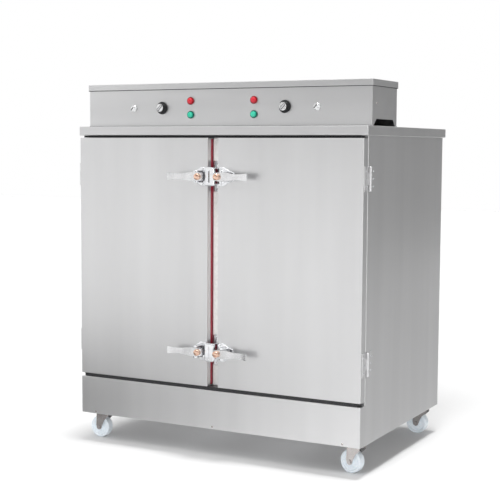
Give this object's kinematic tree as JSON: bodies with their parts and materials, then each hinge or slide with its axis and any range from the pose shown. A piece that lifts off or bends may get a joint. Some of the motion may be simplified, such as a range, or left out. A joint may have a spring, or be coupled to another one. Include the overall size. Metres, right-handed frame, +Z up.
{
  "type": "bun steamer cabinet",
  "caption": "Stainless double-door electric bun steamer cabinet on swivel casters, with tray racks, water tanks below the chambers, lever latches and a control box on top.",
  "frame": {"origin": "on the floor, below the middle of the bounding box", "axes": "+X to the right seen from the front, +Y from the doors to the back, +Z up"},
  "size_m": [1.0654, 0.772, 1.226],
  "materials": {
    "steel": "vertically brushed stainless sheet",
    "liner": "plain stainless sheet",
    "frame": "plain steel angle",
    "chrome": "polished chrome plate",
    "zinc": "zinc plated pressings",
    "nylon": "white nylon",
    "silicone": "dark red silicone",
    "black": "black plastic",
    "red_lens": "red lens",
    "green_lens": "green lens",
    "element": "dull steel tube"
  },
  "bodies": {
    "cabinet": {"base_frame": "frame", "left_side_panel": "steel", "right_side_panel": "steel", "back_panel": "steel", "cabinet_top": "steel", "front_frame": "steel", "liner_left": "liner", "liner_right": "liner", "tray_rack_left": "liner", "tray_rack_right": "liner", "boiler_tank_left": "liner", "boiler_tank_right": "liner", "heating_element_left": "element", "heating_element_right": "element", "skirt_panel": "steel", "hinge_frame_leaf_upper_left": "steel", "hinge_frame_leaf_upper_right": "steel", "hinge_frame_leaf_lower_left": "steel", "hinge_frame_leaf_lower_right": "steel", "latch_keeper_upper": "chrome", "latch_keeper_lower": "chrome", "control_box_housing": "steel", "control_box_lid": "steel", "cable_gland": "black", "lamp_red_left": "red_lens", "lamp_red_right": "red_lens", "lamp_green_left": "green_lens", "lamp_green_right": "green_lens", "caster_plate_front_left": "zinc", "caster_plate_front_right": "zinc", "caster_plate_rear_left": "zinc", "caster_plate_rear_right": "zinc"},
    "left_door": {"door_left": "steel", "door_gasket_left": "silicone", "hinge_door_leaf_upper_left": "steel", "hinge_door_leaf_lower_left": "steel", "latch_base_upper_left": "chrome", "latch_base_lower_left": "chrome"},
    "right_door": {"door_right": "steel", "door_gasket_right": "silicone", "hinge_door_leaf_upper_right": "steel", "hinge_door_leaf_lower_right": "steel", "latch_base_upper_right": "chrome", "latch_base_lower_right": "chrome"},
    "upper_left_lever": {"latch_lever_upper_left": "chrome"},
    "upper_right_lever": {"latch_lever_upper_right": "chrome"},
    "lower_left_lever": {"latch_lever_lower_left": "chrome"},
    "lower_right_lever": {"latch_lever_lower_right": "chrome"},
    "left_timer": {"timer_knob_left": "black"},
    "right_timer": {"timer_knob_right": "black"},
    "left_selector": {"selector_knob_left": "chrome"},
    "right_selector": {"selector_knob_right": "chrome"},
    "front_left_fork": {"caster_fork_front_left": "zinc"},
    "front_left_wheel": {"caster_wheel_front_left": "nylon"},
    "front_right_fork": {"caster_fork_front_right": "zinc"},
    "front_right_wheel": {"caster_wheel_front_right": "nylon"},
    "rear_left_fork": {"caster_fork_rear_left": "zinc"},
    "rear_left_wheel": {"caster_wheel_rear_left": "nylon"},
    "rear_right_fork": {"caster_fork_rear_right": "zinc"},
    "rear_right_wheel": {"caster_wheel_rear_right": "nylon"}
  },
  "joints": [
    {"name": "left_door_hinge", "type": "hinge", "parent": "cabinet", "child": "left_door", "pos_m": [-0.5265, -0.302, 0.6425], "axis": [0, 0, -1], "range_deg": [0, 180]},
    {"name": "right_door_hinge", "type": "hinge", "parent": "cabinet", "child": "right_door", "pos_m": [0.5265, -0.302, 0.6425], "axis": [0, 0, 1], "range_deg": [0, 180]},
    {"name": "upper_left_lever_pivot", "type": "hinge", "parent": "left_door", "child": "upper_left_lever", "pos_m": [-0.048, -0.364, 0.923], "axis": [0, 0, 1], "range_deg": [0, 40]},
    {"name": "upper_right_lever_pivot", "type": "hinge", "parent": "right_door", "child": "upper_right_lever", "pos_m": [0.048, -0.364, 0.923], "axis": [0, 0, -1], "range_deg": [0, 40]},
    {"name": "lower_left_lever_pivot", "type": "hinge", "parent": "left_door", "child": "lower_left_lever", "pos_m": [-0.048, -0.364, 0.356], "axis": [0, 0, 1], "range_deg": [0, 40]},
    {"name": "lower_right_lever_pivot", "type": "hinge", "parent": "right_door", "child": "lower_right_lever", "pos_m": [0.048, -0.364, 0.356], "axis": [0, 0, -1], "range_deg": [0, 40]},
    {"name": "left_timer_turn", "type": "hinge", "parent": "cabinet", "child": "left_timer", "pos_m": [-0.227, -0.28, 1.145], "axis": [0, 1, 0], "range_deg": [0, 300]},
    {"name": "right_timer_turn", "type": "hinge", "parent": "cabinet", "child": "right_timer", "pos_m": [0.227, -0.28, 1.145], "axis": [0, 1, 0], "range_deg": [0, 300]},
    {"name": "left_selector_turn", "type": "hinge", "parent": "cabinet", "child": "left_selector", "pos_m": [-0.338, -0.28, 1.144], "axis": [0, 1, 0], "range_deg": [0, 90]},
    {"name": "right_selector_turn", "type": "hinge", "parent": "cabinet", "child": "right_selector", "pos_m": [0.338, -0.28, 1.144], "axis": [0, 1, 0], "range_deg": [0, 90]},
    {"name": "front_left_swivel", "type": "hinge", "parent": "cabinet", "child": "front_left_fork", "pos_m": [-0.477, -0.258, 0.088], "axis": [0, 0, 1], "continuous": true},
    {"name": "front_left_wheel_spin", "type": "hinge", "parent": "front_left_fork", "child": "front_left_wheel", "pos_m": [-0.493, -0.258, 0.0375], "axis": [0, 1, 0], "continuous": true},
    {"name": "front_right_swivel", "type": "hinge", "parent": "cabinet", "child": "front_right_fork", "pos_m": [0.477, -0.258, 0.088], "axis": [0, 0, 1], "continuous": true},
    {"name": "front_right_wheel_spin", "type": "hinge", "parent": "front_right_fork", "child": "front_right_wheel", "pos_m": [0.46124, -0.25522, 0.0375], "axis": [0.1736, 0.9848, 0], "continuous": true},
    {"name": "rear_left_swivel", "type": "hinge", "parent": "cabinet", "child": "rear_left_fork", "pos_m": [-0.477, 0.339, 0.088], "axis": [0, 0, 1], "continuous": true},
    {"name": "rear_left_wheel_spin", "type": "hinge", "parent": "rear_left_fork", "child": "rear_left_wheel", "pos_m": [-0.493, 0.339, 0.0375], "axis": [0, 1, 0], "continuous": true},
    {"name": "rear_right_swivel", "type": "hinge", "parent": "cabinet", "child": "rear_right_fork", "pos_m": [0.477, 0.339, 0.088], "axis": [0, 0, 1], "continuous": true},
    {"name": "rear_right_wheel_spin", "type": "hinge", "parent": "rear_right_fork", "child": "rear_right_wheel", "pos_m": [0.461, 0.339, 0.0375], "axis": [0, 1, 0], "continuous": true}
  ]
}
